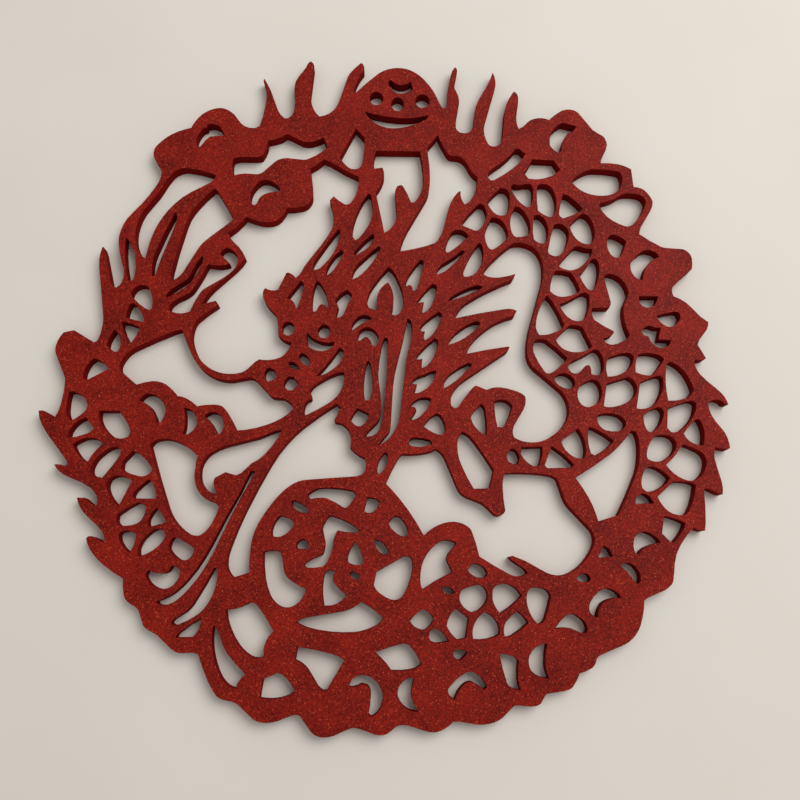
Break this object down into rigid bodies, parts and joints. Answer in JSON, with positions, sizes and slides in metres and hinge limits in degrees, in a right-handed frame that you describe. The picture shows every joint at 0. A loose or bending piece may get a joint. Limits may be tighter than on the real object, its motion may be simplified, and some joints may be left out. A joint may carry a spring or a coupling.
{
  "type": "window cutout",
  "caption": "Flat openwork plate in the style of a traditional paper cutting: a dragon coiled into a ring with its head and claws in the middle, pierced through between its scales.",
  "frame": {"origin": "middle of the plate's bounding box, on the plane of its underside", "axes": "+Z through the plate's thickness and out of its front, +Y to the top of the picture, +X to the picture's right"},
  "size_m": [0.2012, 0.2038, 0.0038],
  "materials": {
    "red_plastic": "matte, finely speckled front face"
  },
  "bodies": {
    "root": {"dragon_cutout": "red_plastic"}
  },
  "joints": []
}
